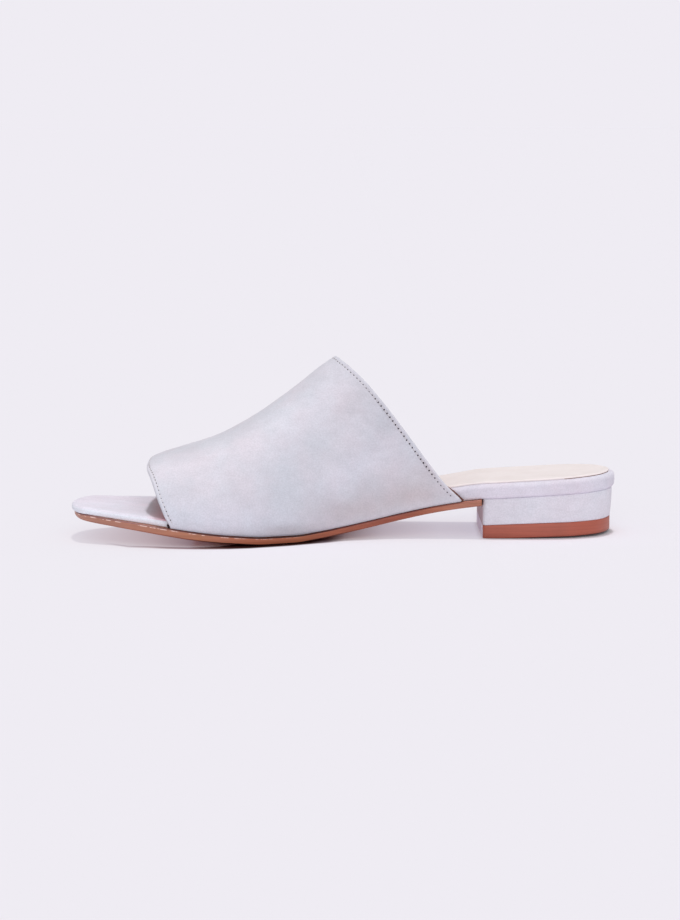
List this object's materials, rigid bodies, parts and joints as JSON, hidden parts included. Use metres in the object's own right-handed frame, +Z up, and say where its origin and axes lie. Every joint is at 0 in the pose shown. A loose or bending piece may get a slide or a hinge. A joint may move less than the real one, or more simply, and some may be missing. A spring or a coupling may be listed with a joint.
{
  "type": "slide sandal",
  "caption": "Open-toed slide sandal for the right foot: wide suede band over a wrapped footbed, thin leather sole, low covered heel.",
  "frame": {"origin": "middle of the shoe's own box, on the floor it stands on", "axes": "+X towards the heel, so the toe points to -X; +Y towards the outer (little toe) side; +Z up"},
  "size_m": [0.2472, 0.089, 0.0806],
  "materials": {
    "band_suede": "suede, pale grey, matt, soft nap",
    "bed_suede": "suede wrap, pale grey, matt",
    "sock_leather": "smooth cream leather, satin",
    "sole_leather": "tan leather with a burnished edge, satin",
    "heel_suede": "suede cover, pale grey, matt",
    "lift_leather": "reddish brown stacked leather, satin"
  },
  "bodies": {
    "root": {"upper": "band_suede", "footbed": "bed_suede", "insole": "sock_leather", "outsole": "sole_leather", "heel": "heel_suede", "heel_lift": "lift_leather"}
  },
  "joints": []
}
